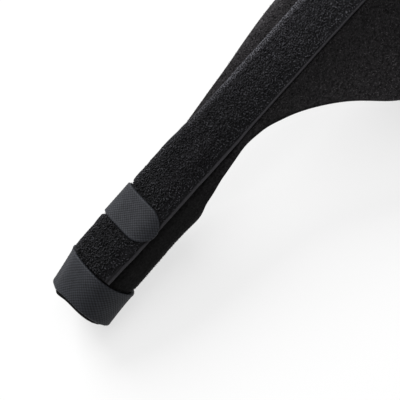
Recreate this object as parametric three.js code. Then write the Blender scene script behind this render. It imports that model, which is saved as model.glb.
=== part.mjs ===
// Finger splint with a wrist wrap, for the middle finger of a left hand.
// A padded wrap has a tongue along the back of the hand and finger and two wings round the wrist.
// A pocket for a flat stay runs along its back, two hook straps hold the finger, and one closes the wrist.
// Millimetres. +X runs from the wrist to the fingertip, +Y to the little-finger side,
// +Z off the back of the hand.
import * as THREE from "three";

// Driving dimensions
const GAP = 0.3; // clearance between pieces that lie on each other
const WRAP_WALL = 2.2; // padded cloth laminate
const WRAP_COLUMNS = 13; // facets from the middle of the back to each edge
const WRAP_SPACING = 5; // longest facet along the wrap
const STRAP_WALL = 1.4; // hook tape
const STRAP_GAP = 0.4; // clearance under a taut strap
const STRAP_COLUMNS = 4; // facets across a strap
const END_STEPS = 6; // facets round the free end of a strap

const POCKET = {
  start: -35, // end behind the wrist
  end: 134.5, // end on the finger
  half: 10, // half width that its section is drawn for, hems included
  hem: 0.9, // thickness of the hems
  taper: 2, // its crown runs down over this length at both ends
  endRise: 0.45, // share of the crown left at the ends
  droop: 1.2, // how far the hems may bend down onto the wrap
  spacing: 7, // longest facet along it
};

// Straps round the finger: angles in degrees from the middle of the back towards the little-finger side.
const MIDDLE_STRAP = { start: 104.6, end: 117.6, from: 146, to: 403, steps: 42 };
const TIP_STRAP = { start: 135, end: 148.8, from: 278, to: -128, steps: 60 };

// The strap that closes the wrist: from is its sewn start, as the reach on the ulnar wing.
const WRIST_STRAP = { start: -40, end: -15, from: 52, length: 60, steps: 22 };

// The limb that the splint is shaped on. Each row is a section across it.
// top: height of its back. depth: from its back to its palm.
// radial, ulnar: half widths on the thumb and little-finger sides.
// crown: power of the curve over its back, where 2 is an ellipse and more is flatter.
// sole: the same for its underside.
// lean: how far the section leans, as the way along X for each millimetre up to its back.
const LIMB = [
  { x: -46, top: 41.7, depth: 38.0, radial: 27.5, ulnar: 27.5, crown: 2.3, sole: 3.0, lean: 0 },
  { x: -18, top: 41.7, depth: 38.0, radial: 27.0, ulnar: 27.0, crown: 2.3, sole: 3.0, lean: 0 },
  { x: 0, top: 40.9, depth: 37.2, radial: 28.0, ulnar: 29.5, crown: 2.2, sole: 3.0, lean: 0.05 },
  { x: 22, top: 37.8, depth: 34.0, radial: 33.0, ulnar: 35.0, crown: 2.1, sole: 2.6, lean: 0.14 },
  { x: 46, top: 33.9, depth: 29.0, radial: 36.0, ulnar: 36.0, crown: 2.1, sole: 2.2, lean: 0.16 },
  { x: 62, top: 31.4, depth: 26.0, radial: 26.0, ulnar: 26.0, crown: 2.2, sole: 2.0, lean: 0.16 },
  { x: 74, top: 29.4, depth: 23.5, radial: 15.0, ulnar: 15.0, crown: 2.4, sole: 2.0, lean: 0.16 },
  { x: 86, top: 27.5, depth: 20.5, radial: 10.4, ulnar: 10.4, crown: 3.0, sole: 2.0, lean: 0.16 },
  { x: 97, top: 25.8, depth: 18.4, radial: 9.2, ulnar: 8.9, crown: 3.8, sole: 2.0, lean: 0.16 },
  { x: 111, top: 23.5, depth: 17.2, radial: 8.6, ulnar: 8.3, crown: 4.0, sole: 2.0, lean: 0.16 },
  { x: 121, top: 21.9, depth: 17.0, radial: 9.0, ulnar: 8.7, crown: 4.0, sole: 2.0, lean: 0.18 },
  { x: 131, top: 20.4, depth: 16.6, radial: 9.0, ulnar: 9.0, crown: 3.8, sole: 2.0, lean: 0.26 },
  { x: 136.5, top: 19.1, depth: 15.3, radial: 7.8, ulnar: 7.4, crown: 3.0, sole: 2.1, lean: 0.33 },
  { x: 150.8, top: 13.8, depth: 12.9, radial: 6.8, ulnar: 6.6, crown: 2.4, sole: 2.1, lean: 0.35 },
];

// Outline of the wrap, as the reach of its two edges round the limb from the middle of the back.
const OUTLINE = [
  { x: -43, radial: 56.0, ulnar: 56.0 },
  { x: -41.5, radial: 61.5, ulnar: 61.5 },
  { x: -38, radial: 65.0, ulnar: 65.0 },
  { x: -32, radial: 66.0, ulnar: 66.0 },
  { x: -22, radial: 66.0, ulnar: 66.0 },
  { x: -17, radial: 63.5, ulnar: 66.0 },
  { x: -13, radial: 58.0, ulnar: 66.0 },
  { x: -9, radial: 49.5, ulnar: 66.0 },
  { x: -4, radial: 38.5, ulnar: 65.6 },
  { x: 1, radial: 29.5, ulnar: 63.8 },
  { x: 7, radial: 23.6, ulnar: 58.5 },
  { x: 14, radial: 20.0, ulnar: 49.8 },
  { x: 21, radial: 18.2, ulnar: 41.2 },
  { x: 33, radial: 16.8, ulnar: 28.4 },
  { x: 45, radial: 15.0, ulnar: 19.8 },
  { x: 52, radial: 13.8, ulnar: 16.2 },
  { x: 60, radial: 12.8, ulnar: 13.2 },
  { x: 70, radial: 12.0, ulnar: 11.8 },
  { x: 81, radial: 12.4, ulnar: 12.2 },
  { x: 91, radial: 15.2, ulnar: 15.0 },
  { x: 100, radial: 19.4, ulnar: 20.4 },
  { x: 107, radial: 20.4, ulnar: 22.4 },
  { x: 128, radial: 20.4, ulnar: 22.4 },
  { x: 149.1, radial: 16.0, ulnar: 16.0 },
  { x: 149.8, radial: 13.0, ulnar: 13.0 },
  { x: 150.3, radial: 8.0, ulnar: 8.0 },
];

// Half of the pocket's section over its hems: a rounded shoulder and a low crown over the stay.
const POCKET_PROFILE = [
  { across: 0, rise: 3.1 },
  { across: 3.2, rise: 3.05 },
  { across: 5.8, rise: 2.8 },
  { across: 7.4, rise: 2.35 },
  { across: 8.6, rise: 1.75 },
  { across: 9.3, rise: POCKET.hem },
  { across: POCKET.half, rise: POCKET.hem },
];

// Half widths of the pocket on the thumb and little-finger sides, hems included.
const POCKET_EDGES = [
  { x: -35, radial: 8.8, ulnar: 10.0 },
  { x: 45, radial: 8.8, ulnar: 10.1 },
  { x: 78, radial: 9.6, ulnar: 10.9 },
  { x: 96, radial: 10.0, ulnar: 10.9 },
  { x: 134.5, radial: 10.0, ulnar: 10.9 },
];

// Cloth colours
const WRAP_CLOTH = new THREE.MeshStandardMaterial({ color: 0x1b1a1b, roughness: 0.95, metalness: 0 });
const LOOP_PILE = new THREE.MeshStandardMaterial({ color: 0x1d1d20, roughness: 1, metalness: 0 });
const HOOK_TAPE = new THREE.MeshStandardMaterial({ color: 0x3f434a, roughness: 0.8, metalness: 0 });

// A column of a table at x, on a smooth curve that never overshoots its rows.
function valueAt(table, column, x) {
  const last = table.length - 1;
  if (x <= table[0].x) return table[0][column];
  if (x >= table[last].x) return table[last][column];
  const i = table.findIndex((row) => row.x > x) - 1;
  const step = (k) => table[k + 1].x - table[k].x;
  const rate = (k) => (table[k + 1][column] - table[k][column]) / step(k);
  const slope = (k) => {
    if (k === 0 || k === last) return rate(Math.min(k, last - 1));
    const [before, after] = [rate(k - 1), rate(k)];
    return before * after > 0 ? (2 * before * after) / (before + after) : 0;
  };
  const t = (x - table[i].x) / step(i);
  const ahead = (1 + 2 * t) * (1 - t) ** 2 * table[i][column] + t * (1 - t) ** 2 * slope(i) * step(i);
  const behind = t * t * (3 - 2 * t) * table[i + 1][column] + t * t * (t - 1) * slope(i + 1) * step(i);
  return ahead + behind;
}

function limb(column, x) {
  return valueAt(LIMB, column, x);
}

// A point of the section at x, set back by the section's lean.
function leaning(x, { y, z }) {
  return new THREE.Vector3(x + limb("lean", x) * (z - limb("top", x)), y, z);
}

// One side of the limb's section at x: points from the middle of the back to the middle of the palm,
// with their reach.
const SECTION_STEPS = 120;
const sections = new Map();

function sectionSide(x, side) {
  const key = `${side} ${x}`;
  if (sections.has(key)) return sections.get(key);
  const half = limb(side < 0 ? "radial" : "ulnar", x);
  const rise = limb("depth", x) / 2;
  const points = [];
  let reach = 0;
  for (let i = 0; i <= SECTION_STEPS; i++) {
    const turn = (Math.PI * i) / SECTION_STEPS;
    const power = 2 / limb(turn < Math.PI / 2 ? "crown" : "sole", x);
    const y = side * half * Math.abs(Math.sin(turn)) ** power;
    const z = limb("top", x) - rise + rise * Math.sign(Math.cos(turn)) * Math.abs(Math.cos(turn)) ** power;
    if (i) reach += Math.hypot(y - points[i - 1].y, z - points[i - 1].z);
    points.push({ y, z, reach });
  }
  sections.set(key, points);
  return points;
}

// A point of the section at x: reach is the way round from the middle of the back,
// and lift is the height off the limb.
// A reach past the middle of the palm goes on up the other side.
function overLimb(x, reach, lift) {
  let side = reach < 0 ? -1 : 1;
  let way = Math.abs(reach);
  const full = sectionSide(x, side)[SECTION_STEPS].reach;
  if (way > full) {
    side = -side;
    way = sectionSide(x, side)[SECTION_STEPS].reach - (way - full);
  }
  const points = sectionSide(x, side);
  const i = THREE.MathUtils.clamp(points.findIndex((p) => p.reach >= way), 1, SECTION_STEPS);
  const [a, b] = [points[i - 1], points[i]];
  const length = b.reach - a.reach;
  const t = (way - a.reach) / length;
  const out = { y: (side * (a.z - b.z)) / length, z: (side * (b.y - a.y)) / length };
  return { y: a.y + t * (b.y - a.y) + lift * out.y, z: a.z + t * (b.z - a.z) + lift * out.z };
}

// A closed solid between two sheets of points, given as rows of the same length.
function slab(under, over) {
  const [rows, columns] = [over.length, over[0].length];
  const positions = [...over.flat(), ...under.flat()].flatMap((p) => [p.x, p.y, p.z]);
  const index = [];
  const top = (r, c) => r * columns + c;
  const bottom = (r, c) => rows * columns + r * columns + c;
  const quad = (a, b, c, d) => index.push(a, b, c, a, c, d);
  for (let r = 0; r + 1 < rows; r++) {
    for (let c = 0; c + 1 < columns; c++) {
      quad(top(r, c), top(r + 1, c), top(r + 1, c + 1), top(r, c + 1));
      quad(bottom(r, c), bottom(r, c + 1), bottom(r + 1, c + 1), bottom(r + 1, c));
    }
    quad(top(r, 0), bottom(r, 0), bottom(r + 1, 0), top(r + 1, 0));
    quad(top(r, columns - 1), top(r + 1, columns - 1), bottom(r + 1, columns - 1), bottom(r, columns - 1));
  }
  for (let c = 0; c + 1 < columns; c++) {
    quad(top(0, c), top(0, c + 1), bottom(0, c + 1), bottom(0, c));
    quad(top(rows - 1, c), bottom(rows - 1, c), bottom(rows - 1, c + 1), top(rows - 1, c + 1));
  }
  const geometry = new THREE.BufferGeometry();
  geometry.setAttribute("position", new THREE.Float32BufferAttribute(positions, 3));
  geometry.setIndex(index);
  return geometry;
}

// Stations from one to the next of the given ones, with more between them where they are far apart.
function stationsBetween(marks, spacing) {
  const stations = [marks[0]];
  for (let k = 1; k < marks.length; k++) {
    const count = Math.ceil((marks[k] - marks[k - 1]) / spacing);
    for (let i = 1; i <= count; i++) stations.push(THREE.MathUtils.lerp(marks[k - 1], marks[k], i / count));
  }
  return stations;
}

// The wrap: one padded sheet on the limb, from its radial edge over the back to its ulnar edge.
function wrapSection(x, lift) {
  const row = [];
  for (let c = -WRAP_COLUMNS; c <= WRAP_COLUMNS; c++) {
    const edge = valueAt(OUTLINE, c < 0 ? "radial" : "ulnar", x);
    row.push(overLimb(x, (edge * c) / WRAP_COLUMNS, lift));
  }
  return row;
}

function wrap() {
  const stations = stationsBetween(OUTLINE.map((row) => row.x), WRAP_SPACING);
  const sheet = (lift) => stations.map((x) => wrapSection(x, lift).map((p) => leaning(x, p)));
  return slab(sheet(0), sheet(WRAP_WALL));
}

// The lowest that a strip on the wrap's back can lie at x, at y from the middle.
function backHeight(x, y) {
  let [near, far] = [0, 2 * Math.abs(y)];
  for (let i = 0; i < 30; i++) {
    const way = (near + far) / 2;
    if (Math.abs(overLimb(x, Math.sign(y) * way, WRAP_WALL + GAP).y) < Math.abs(y)) near = way;
    else far = way;
  }
  return overLimb(x, Math.sign(y) * near, WRAP_WALL + GAP).z;
}

// The pocket: a stiff strip along the wrap's back, whose crown runs down at both ends.
const POCKET_COLUMNS = [
  ...POCKET_PROFILE.slice(1).reverse().map((p) => ({ across: -p.across, rise: p.rise })),
  ...POCKET_PROFILE,
];

function pocketSection(x, share) {
  const toEnd = Math.min(x - POCKET.start, POCKET.end - x);
  const rising = Math.sin((Math.min(toEnd / POCKET.taper, 1) * Math.PI) / 2);
  const full = THREE.MathUtils.lerp(POCKET.endRise, 1, rising);
  const flat = limb("top", x) + WRAP_WALL + GAP;
  return POCKET_COLUMNS.map(({ across, rise }) => {
    const side = across / POCKET.half;
    const y = side * valueAt(POCKET_EDGES, side < 0 ? "radial" : "ulnar", x);
    const bent = flat - POCKET.droop * side ** 4;
    const height = POCKET.hem + (rise - POCKET.hem) * full;
    return { y, z: Math.max(bent, backHeight(x, y)) + share * height };
  });
}

function pocket() {
  const { start, end, taper, spacing } = POCKET;
  const marks = [start, start + taper / 2, start + taper, end - taper, end - taper / 2, end];
  const stations = stationsBetween(marks, spacing);
  const sheet = (share) => stations.map((x) => pocketSection(x, share).map((p) => leaning(x, p)));
  return slab(sheet(0), sheet(1));
}

// What a finger strap goes round at x: the finger, the wrap and, where it is there, the pocket.
function strapped(x) {
  const points = [...sectionSide(x, -1), ...sectionSide(x, 1), ...wrapSection(x, WRAP_WALL)];
  if (x < POCKET.end) points.push(...pocketSection(x, 1));
  return points.map((p) => new THREE.Vector2(p.y, p.z));
}

// The convex outline of points in a plane, anticlockwise.
function hull(points) {
  const sorted = [...points].sort((a, b) => a.x - b.x || a.y - b.y);
  const cross = (o, a, b) => (a.x - o.x) * (b.y - o.y) - (a.y - o.y) * (b.x - o.x);
  const chain = (list) => {
    const kept = [];
    for (const p of list) {
      while (kept.length > 1 && cross(kept[kept.length - 2], kept[kept.length - 1], p) <= 0) kept.pop();
      kept.push(p);
    }
    return kept.slice(0, -1);
  };
  return [...chain(sorted), ...chain(sorted.reverse())];
}

// The point of a taut outline at an angle round the finger's middle.
function tautPoint(outline, middle, angle) {
  const way = new THREE.Vector2(Math.sin(angle), Math.cos(angle));
  for (let i = 0; i < outline.length; i++) {
    const from = outline[i].clone().sub(middle);
    const along = outline[(i + 1) % outline.length].clone().sub(outline[i]);
    const spread = way.cross(along);
    const share = -way.cross(from) / spread;
    const radius = from.cross(along) / spread;
    if (share >= 0 && share <= 1 && radius > 0) return way.multiplyScalar(radius).add(middle);
  }
  throw new Error("the outline doesn't go round the finger");
}

// Stops along a strap with a round free end: how far along, and what share of the width.
function strapStops(length, half, steps) {
  const stops = [];
  for (let i = 0; i <= steps; i++) stops.push({ along: ((length - half) * i) / steps, width: 1 });
  for (let i = 1; i <= END_STEPS; i++) {
    const turn = ((Math.PI / 2) * (i - 0.25)) / END_STEPS;
    stops.push({ along: length - half + half * Math.sin(turn), width: Math.cos(turn) });
  }
  return stops;
}

// Places across a strap at a stop.
function strapStations({ start, end }, width) {
  const stations = [];
  for (let c = 0; c <= STRAP_COLUMNS; c++) {
    stations.push((start + end) / 2 + width * (end - start) * (c / STRAP_COLUMNS - 0.5));
  }
  return stations;
}

// A strap's underside gives where it rests on a table.
function resting(point) {
  return point.setZ(Math.max(point.z, 0));
}

// A strap round the finger. It rises onto its own start where it comes round to it.
const RISE_ANGLE = 0.5;
const FACING_ANGLE = 0.08; // either side of a point, to find which way the strap faces there

function fingerStrap(strap) {
  const [from, to] = [strap.from, strap.to].map(THREE.MathUtils.degToRad);
  const turn = Math.sign(to - from);
  const sweep = Math.abs(to - from);
  const middleOf = (x) => new THREE.Vector2(0, limb("top", x) - limb("depth", x) / 2);
  const outlines = new Map();
  const taut = (x, angle) => {
    if (!outlines.has(x)) outlines.set(x, hull(strapped(x)));
    return tautPoint(outlines.get(x), middleOf(x), angle);
  };
  const place = (x, angle, lift) => {
    const here = taut(x, angle);
    const along = taut(x, angle + FACING_ANGLE).sub(taut(x, angle - FACING_ANGLE)).normalize();
    return resting(leaning(x, { y: here.x - along.y * lift, z: here.y + along.x * lift }));
  };

  const centre = (strap.start + strap.end) / 2;
  const radius = taut(centre, to).distanceTo(middleOf(centre));
  const stops = strapStops(sweep * radius, (strap.end - strap.start) / 2, strap.steps);
  const sheet = (lift) =>
    stops.map(({ along, width }) => {
      const angle = along / radius;
      const risen = THREE.MathUtils.smoothstep(angle, 2 * Math.PI - RISE_ANGLE, 2 * Math.PI);
      const height = STRAP_GAP + risen * (STRAP_WALL + GAP) + lift;
      const row = strapStations(strap, width).map((x) => place(x, from + turn * angle, height));
      return turn > 0 ? row.reverse() : row;
    });
  return slab(sheet(0), sheet(STRAP_WALL));
}

// The strap that closes the wrist: sewn to the ulnar wing, over the gap in the palm,
// and hooked on the radial wing.
function wristStrap(strap) {
  const stops = strapStops(strap.length, (strap.end - strap.start) / 2, strap.steps);
  const sheet = (lift) =>
    stops.map(({ along, width }) => {
      const height = WRAP_WALL + STRAP_GAP + lift;
      const place = (x) => resting(leaning(x, overLimb(x, strap.from + along, height)));
      return strapStations(strap, width).map(place).reverse();
    });
  return slab(sheet(0), sheet(STRAP_WALL));
}

const splint = new THREE.Group();

function addPiece(name, geometry, material) {
  const piece = new THREE.Mesh(geometry, material);
  piece.name = name;
  splint.add(piece);
}

addPiece("wrap", wrap(), WRAP_CLOTH);
addPiece("stay_pocket", pocket(), LOOP_PILE);
addPiece("middle_strap", fingerStrap(MIDDLE_STRAP), HOOK_TAPE);
addPiece("tip_strap", fingerStrap(TIP_STRAP), HOOK_TAPE);
addPiece("wrist_strap", wristStrap(WRIST_STRAP), HOOK_TAPE);

// The origin lies under the middle of the part's box.
const box = new THREE.Box3().setFromObject(splint);
const middle = box.getCenter(new THREE.Vector3());
splint.position.set(-middle.x, -middle.y, -box.min.z);

export default splint;
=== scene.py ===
"""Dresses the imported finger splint: wrap, pile pocket, hook straps, stitching and a plain stage."""

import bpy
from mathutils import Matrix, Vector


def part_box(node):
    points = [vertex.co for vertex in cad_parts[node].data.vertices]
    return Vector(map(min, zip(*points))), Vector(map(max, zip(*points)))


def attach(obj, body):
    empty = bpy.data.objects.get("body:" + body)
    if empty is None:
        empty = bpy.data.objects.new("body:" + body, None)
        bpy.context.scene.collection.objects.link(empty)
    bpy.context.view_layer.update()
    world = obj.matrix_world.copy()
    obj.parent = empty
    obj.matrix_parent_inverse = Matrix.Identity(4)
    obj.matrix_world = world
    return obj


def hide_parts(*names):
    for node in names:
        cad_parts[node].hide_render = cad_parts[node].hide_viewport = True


bl_info = {
    "name": "Finger splint",
    "version": (1, 0, 0),
    "blender": (4, 5, 0),
    "location": "3D View > Sidebar > Splint",
    "description": "Builds the cloth pieces of a finger splint with a wrist wrap on its packed frame",
    "category": "Object",
}

import math
from collections import namedtuple
from functools import lru_cache

import bmesh
import bpy
import numpy as np
from mathutils import Matrix, Vector, noise

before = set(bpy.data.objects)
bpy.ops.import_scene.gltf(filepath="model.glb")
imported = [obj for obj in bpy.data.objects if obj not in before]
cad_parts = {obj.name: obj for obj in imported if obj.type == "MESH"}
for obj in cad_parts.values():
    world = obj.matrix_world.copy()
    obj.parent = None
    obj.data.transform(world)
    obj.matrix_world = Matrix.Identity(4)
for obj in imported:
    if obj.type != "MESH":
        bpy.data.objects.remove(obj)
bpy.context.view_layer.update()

# Frame of the pattern, in millimetres: x from the wrist to the fingertip, y to the ulnar side, z up
MM = 0.001
WRAP_START = -43.0
WRAP_LOW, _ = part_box("wrap")
POCKET_LOW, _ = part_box("stay_pocket")
POCKET_RADIAL_HALF = 10.0
ORIGIN = np.array((WRAP_LOW.x - WRAP_START * MM, POCKET_LOW.y + POCKET_RADIAL_HALF * MM, 0.0))

# Sections of the limb that the splint is shaped on, in millimetres, with their powers and leans
Section = namedtuple("Section", "x top depth radial ulnar crown sole lean")
LIMB = (
    Section(-46, 41.7, 38.0, 27.5, 27.5, 2.3, 3.0, 0.0),
    Section(-18, 41.7, 38.0, 27.0, 27.0, 2.3, 3.0, 0.0),
    Section(0, 40.9, 37.2, 28.0, 29.5, 2.2, 3.0, 0.05),
    Section(22, 37.8, 34.0, 33.0, 35.0, 2.1, 2.6, 0.14),
    Section(46, 33.9, 29.0, 36.0, 36.0, 2.1, 2.2, 0.16),
    Section(62, 31.4, 26.0, 26.0, 26.0, 2.2, 2.0, 0.16),
    Section(74, 29.4, 23.5, 15.0, 15.0, 2.4, 2.0, 0.16),
    Section(86, 27.5, 20.5, 10.4, 10.4, 3.0, 2.0, 0.16),
    Section(97, 25.8, 18.4, 9.2, 8.9, 3.8, 2.0, 0.16),
    Section(111, 23.5, 17.2, 8.6, 8.3, 4.0, 2.0, 0.16),
    Section(121, 21.9, 17.0, 9.0, 8.7, 4.0, 2.0, 0.18),
    Section(131, 20.4, 16.6, 9.0, 9.0, 3.8, 2.0, 0.26),
    Section(136.5, 19.1, 15.3, 7.8, 8.2, 3.0, 2.1, 0.33),
    Section(150.8, 13.8, 12.9, 6.8, 8.5, 2.4, 2.3, 0.25),
)

# Reach of the wrap's two edges round the limb from the middle of the back, in millimetres
Reach = namedtuple("Reach", "x radial ulnar")
OUTLINE = (
    Reach(-43, 56.0, 56.0),
    Reach(-41.5, 61.5, 61.5),
    Reach(-38, 65.0, 65.0),
    Reach(-32, 66.0, 66.0),
    Reach(-22, 66.0, 66.0),
    Reach(-17, 63.5, 66.0),
    Reach(-13, 58.0, 66.0),
    Reach(-9, 49.5, 66.0),
    Reach(-4, 38.5, 65.6),
    Reach(1, 29.5, 63.8),
    Reach(7, 23.6, 58.5),
    Reach(14, 20.0, 49.8),
    Reach(21, 18.2, 41.2),
    Reach(33, 16.8, 28.4),
    Reach(45, 15.0, 19.8),
    Reach(52, 13.8, 16.2),
    Reach(60, 12.8, 13.2),
    Reach(70, 12.0, 11.8),
    Reach(81, 12.4, 12.2),
    Reach(91, 15.2, 15.0),
    Reach(100, 19.4, 20.4),
    Reach(107, 20.4, 22.4),
    Reach(128, 20.4, 22.4),
    Reach(147.65, 16.0, 16.0),
    Reach(148.35, 13.0, 13.0),
    Reach(148.85, 8.0, 8.0),
)

# Half section of the pocket: height over the wrap across its width, in millimetres
Rise = namedtuple("Rise", "x height")
POCKET_PROFILE = (
    Rise(0, 3.1),
    Rise(3.2, 3.05),
    Rise(5.8, 2.8),
    Rise(7.4, 2.35),
    Rise(8.6, 1.75),
    Rise(9.3, 0.9),
    Rise(10.0, 0.9),
)

# Half widths of the pocket on its two sides, in millimetres, hems included
POCKET_EDGES = (
    Reach(-35, 8.8, 10.7),
    Reach(45, 8.8, 10.7),
    Reach(72, 9.4, 10.57),
    Reach(84, 10.5, 10.55),
    Reach(96, 10.7, 10.55),
    Reach(113, 10.6, 10.6),
    Reach(134.5, 10.4, 10.15),
)

# Straps round the finger: edges along x, bearings in degrees from the middle of the back to the ulnar
# side, how far each lies off the cloth, and three things on the radial side: how far its edge towards the
# wrist stands out, how far its ring is tilted to the wrist, and how far its edge at the tip is drawn out
FingerStrap = namedtuple("FingerStrap", "node start end bearing_from bearing_to gap flare tilt drawn")
MIDDLE_STRAP = FingerStrap("middle_strap", 104.6, 117.6, 146, 404.5, 0.2, 0.0, 0.0, 0.0)
TIP_STRAP = FingerStrap("tip_strap", 135, 147.6, 289, -128, 0.5, 0.45, 1.0, 1.5)
RADIAL_BEARING, RADIAL_SPREAD = math.radians(-48), math.radians(36)

# How the middle strap presses the pocket: share of its thickness, share of its radial width, and run-out
PRESS_THICKNESS, PRESS_WIDTH, PRESS_RUN = 0.18, 0.11, 1.6

# The strap that closes the wrist: edges along x, sewn start as the reach on the ulnar wing, and length
WristStrap = namedtuple("WristStrap", "node start end reach length")
WRIST_STRAP = WristStrap("wrist_strap", -40, -15, 52, 60)

# Fits, in millimetres, and the angle over which a lapped strap rises, in radians
PIECE_GAP = 0.3
STRAP_GAP = 0.4
RIM_DEPTH = 0.45
ROW_SPACING = 1.0
LAP_RISE = 0.5

# The pocket, in millimetres: its ends, half width, hem, run-down ends and bent-down hems
POCKET_START, POCKET_END, POCKET_HALF = -35.0, 133.9, 10.0
POCKET_HEM, POCKET_TAPER, POCKET_END_SHARE, POCKET_DROOP = 0.9, 2.0, 0.45, 1.2
CROWN_HALF, SHOULDER_FROM, SHOULDER_TO, HEM_FLAT = 6.0, 6.4, 9.3, 9.5
BACK_REACH = 16.0

# Where the pile ends and the hems begin, in millimetres across the pocket and along it
PILE_RADIAL = 9.15
HEM_INNER, HEM_INNER_TIP = 9.25, 8.65
HEM_WIDENS_FROM, HEM_WIDENS_TO = 121.0, 131.0

# Slack of the wings and wander of the hems, in millimetres
WING_FROM, WING_RUN, WING_END, WING_END_RUN = 13.0, 10.0, 50.0, 7.0
WING_SLACK, WING_WAVE = 0.35, 17.0
HEM_LOOSE_FROM, HEM_RADIAL_WANDER, HEM_ULNAR_WANDER = 5.0, 0.42, 0.16
HEM_LONG_WAVE, HEM_SHORT_WAVE, HEM_SHORT_SHARE = 6.5, 2.7, 0.4

# The wrap's nap, in millimetres: how far it stays clear of the edges, the pocket and the wrist strap, how
# it leans, strays and varies, and where and by what share it is shorter
NAP_RADIAL_CLEAR, NAP_ULNAR_CLEAR, NAP_POCKET_CLEAR, NAP_STRAP_CLEAR = 0.8, 0.7, 0.1, 0.6
NAP_BACK_DEPTH, NAP_WRIST_REACH = 6.0, 49.0
NAP_LEAN, NAP_UNRULY, NAP_SIZES = 0.25, 0.8, (0.7, 1.2)
NAP_CLUMP, NAP_CLUMP_SIZE = 0.2, 1.4
NAP_EDGE_RUN, NAP_EDGE_LEAST = 2.5, 0.45
NAP_SHORTENS_FROM, NAP_SHORTENS_RUN, NAP_SHORTENS_BY = 60.0, 30.0, 0.55

# The pile's loops, in millimetres: how they stray and vary, and how they are shorter on the shoulders
PILE_UNRULY, PILE_SIZES = 0.5, (0.75, 1.25)
PILE_SHORTENS_FROM, PILE_SHORTENS_RUN, PILE_SHORTENS_BY = 6.5, 2.0, 0.2

# Tones of the pile: its base, what chance and clumps add, the painted highlight on the radial shoulder,
# and painted light on the ulnar shoulder
TONE_BASE, TONE_CHANCE = 0.17, 0.16
FINE_CLUMP, FINE_CLUMP_SIZE, BROAD_CLUMP, BROAD_CLUMP_SIZE = 0.44, 0.85, 0.12, 2.2
HIGHLIGHT_FROM, HIGHLIGHT_RUN, HIGHLIGHT_EVENS, HIGHLIGHT_LIGHTENS = 5.6, 1.8, 0.4, 1.4
HIGHLIGHT_TO_X, HIGHLIGHT_FADE, HIGHLIGHT_LEAST = 100.0, 40.0, 0.35
HIGHLIGHT_EVEN, HIGHLIGHT_PATCHY, HIGHLIGHT_PATCH_SIZE = 0.85, 0.45, 9.0
ULNAR_PAINTED_LIGHT, ULNAR_LIGHT_FROM, ULNAR_LIGHT_RUN = 0.07, 5.5, 3.0

# The tape's weave and its firmer selvedge, in millimetres in from the rim and up
WEAVE_FROM, WEAVE_RUN, WEAVE_HEIGHT = 0.5, 0.4, 0.035
SELVEDGE_AT, SELVEDGE_SPREAD, SELVEDGE_HEIGHT = 0.65, 0.22, 0.05

# Boxes of stitches at the straps' sewn ends, in millimetres along the tape and to each side
SewnBox = namedtuple("SewnBox", "near far half")
FINGER_BOX = SewnBox(2.0, 11.0, 4.6)
WRIST_BOX = SewnBox(1.6, 9.0, 10.0)

# Small shapes that are repeated, in millimetres, with the widths of their tips as shares
TUFT_LENGTH, TUFT_WIDTH, TUFT_TIP = 0.66, 0.36, 0.35
BRISTLE_LENGTH, BRISTLE_WIDTH, BRISTLE_TIP = 0.62, 0.12, 0.2
BRISTLE_UNRULY, BRISTLE_LEAST_Z, BRISTLE_OUT, BRISTLE_IN = 0.35, 1.0, 0.98, 0.9
BRISTLE_SIZES, BRISTLE_LIFTS = (0.5, 1.2), (0.3, 0.65)
STUB_RAISED = 0.3
LOOP_THREAD = 0.22
STITCH_WIDTH, STITCH_SHARE, STITCH_STEP, STITCH_OFF = 0.24, 0.8, 0.3, 0.4
STITCH_UNRULY, STITCH_SIZES = 0.03, (0.9, 1.1)
SEED = 7


class SplintSizes(bpy.types.PropertyGroup):
    """Sizes of the cloth that a user may change."""

    wrap_wall: bpy.props.FloatProperty(
        name="Wrap wall", description="Thickness of the padded laminate",
        default=2.2 * MM, unit="LENGTH")
    strap_wall: bpy.props.FloatProperty(
        name="Strap wall", description="Thickness of the hook tape",
        default=1.15 * MM, unit="LENGTH")
    thread_pitch: bpy.props.FloatProperty(
        name="Tape thread pitch", description="Distance between threads of the hook tape",
        default=0.57 * MM, unit="LENGTH")
    loop_spacing: bpy.props.FloatProperty(
        name="Pile spacing", description="Distance between loops of the pile",
        default=0.76 * MM, unit="LENGTH")
    loop_height: bpy.props.FloatProperty(
        name="Pile height", description="Height of the loops of the pile",
        default=0.55 * MM, unit="LENGTH")
    nap_spacing: bpy.props.FloatProperty(
        name="Nap spacing", description="Distance between tufts of the wrap's nap",
        default=0.7 * MM, unit="LENGTH")
    bristle_spacing: bpy.props.FloatProperty(
        name="Bristle spacing", description="Distance between bristles at the straps' edges",
        default=0.45 * MM, unit="LENGTH")
    stitch_pitch: bpy.props.FloatProperty(
        name="Stitch pitch", description="Distance from stitch to stitch",
        default=2.2 * MM, unit="LENGTH")


class SplintColours(bpy.types.PropertyGroup):
    """Colours of the cloth that a user may change."""

    wrap_cloth: bpy.props.FloatVectorProperty(
        name="Wrap cloth", description="Colour of the brushed wrap",
        default=(0.0049, 0.0046, 0.0049), subtype="COLOR")
    loop_pile: bpy.props.FloatVectorProperty(
        name="Loop pile", description="Colour of the pocket's pile",
        default=(0.0098, 0.0098, 0.0110), subtype="COLOR")
    # The hems are set much lighter than the pile: painted highlight along the pocket's edges
    hem: bpy.props.FloatVectorProperty(
        name="Hem", description="Colour of the pocket's hems",
        default=(0.046, 0.0447, 0.0494), subtype="COLOR")
    hook_tape: bpy.props.FloatVectorProperty(
        name="Hook tape", description="Colour of the straps",
        default=(0.0143, 0.0158, 0.0204), subtype="COLOR")
    thread: bpy.props.FloatVectorProperty(
        name="Thread", description="Colour of the sewing thread",
        default=(0.030, 0.0292, 0.033), subtype="COLOR")


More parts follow.
